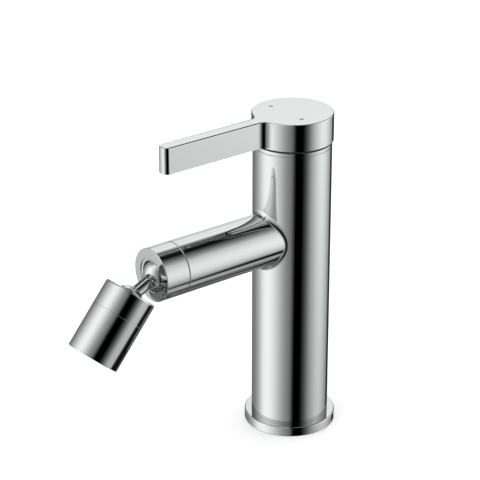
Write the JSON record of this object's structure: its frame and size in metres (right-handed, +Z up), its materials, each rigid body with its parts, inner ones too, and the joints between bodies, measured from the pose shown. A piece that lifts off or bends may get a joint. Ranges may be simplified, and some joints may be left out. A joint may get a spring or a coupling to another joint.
{
  "type": "single-lever basin tap with swivel spray head",
  "caption": "Deck-mounted basin mixer: round column, top lever for flow and temperature, level spout, spray head on a double ball joint.",
  "frame": {"origin": "centre of the column's foot, on the basin deck", "axes": "+Z up the column, -Y along the spout and the lever, +X to the cold side"},
  "size_m": [0.0496, 0.165, 0.1797],
  "materials": {
    "chromed_brass": "polished chrome plate on brass",
    "chromed_zinc": "polished chrome plate on zinc die casting",
    "chromed_plastic": "chrome plate on ABS",
    "brass": "turned, uncoated",
    "stainless_steel": "turned stainless steel",
    "white_acetal": "moulded acetal",
    "grey_acetal": "moulded acetal",
    "ptfe": "turned PTFE",
    "alumina": "lapped alumina ceramic",
    "black_rubber": "EPDM rubber",
    "red_enamel": "enamel dot",
    "blue_enamel": "enamel dot"
  },
  "bodies": {
    "root": {"column_body": "chromed_brass", "base_ring": "chromed_brass", "base_gasket": "black_rubber", "foot_o_ring": "black_rubber", "spout_tube": "chromed_brass", "spout_end_collar": "chromed_brass", "collar_o_ring": "black_rubber", "ball_seal": "black_rubber", "ball_retainer": "brass", "dome_ring": "chromed_brass", "wiper_ring": "black_rubber", "cartridge_nut": "brass", "cartridge_housing": "white_acetal", "cartridge_base": "white_acetal", "port_seals": "black_rubber", "fixed_disc": "alumina"},
    "turret": {"cartridge_turret": "white_acetal", "turret_o_ring": "black_rubber", "pivot_pin": "stainless_steel"},
    "lever": {"lever_handle": "chromed_zinc", "cartridge_stem": "brass", "handle_set_screw": "stainless_steel", "handle_screw_plug": "chromed_plastic", "hot_mark": "red_enamel", "cold_mark": "blue_enamel"},
    "disc": {"moving_disc": "alumina", "disc_carrier": "white_acetal"},
    "ball_seat": {"ball_seat_liner": "ptfe"},
    "neck": {"swivel_neck": "chromed_brass", "neck_nut": "stainless_steel"},
    "ball": {"swivel_ball": "chromed_brass", "neck_o_ring": "black_rubber"},
    "head": {"head_upper_shell": "chromed_brass", "head_lower_shell": "chromed_brass", "head_seat_liner": "ptfe", "head_seal": "black_rubber", "head_o_ring": "black_rubber", "aerator_washer": "black_rubber", "aerator_screen": "stainless_steel", "aerator_insert": "grey_acetal", "aerator_housing": "white_acetal"}
  },
  "joints": [
    {"name": "temperature_turn", "type": "hinge", "parent": "root", "child": "turret", "pos_m": [0, 0, 0.1552], "axis": [0, 0, 1], "range_deg": [-50, 50]},
    {"name": "flow_lift", "type": "hinge", "parent": "turret", "child": "lever", "pos_m": [0, 0, 0.1552], "axis": [-1, 0, 0], "range_deg": [0, 24]},
    {"name": "disc_slide", "type": "slide", "parent": "turret", "child": "disc", "axis": [0, -1, 0], "range_m": [0, 0.0057]},
    {"name": "neck_sweep", "type": "hinge", "parent": "root", "child": "ball_seat", "pos_m": [0, -0.0873, 0.1121], "axis": [0, -1, 0], "continuous": true},
    {"name": "neck_tilt", "type": "hinge", "parent": "ball_seat", "child": "neck", "pos_m": [0, -0.0873, 0.1121], "axis": [1, 0, 0], "range_deg": [-52.8, 3.2]},
    {"name": "head_sweep", "type": "hinge", "parent": "neck", "child": "ball", "pos_m": [0, -0.10809, 0.1025], "axis": [0, -0.9078, -0.4195], "continuous": true},
    {"name": "head_tilt", "type": "hinge", "parent": "ball", "child": "head", "pos_m": [0, -0.10809, 0.1025], "axis": [1, 0, 0], "range_deg": [-53.2, 2.8]}
  ],
  "couplings": [
    {"joint": "disc_slide", "follows": "flow_lift", "m_per_rad": 0.013593}
  ]
}
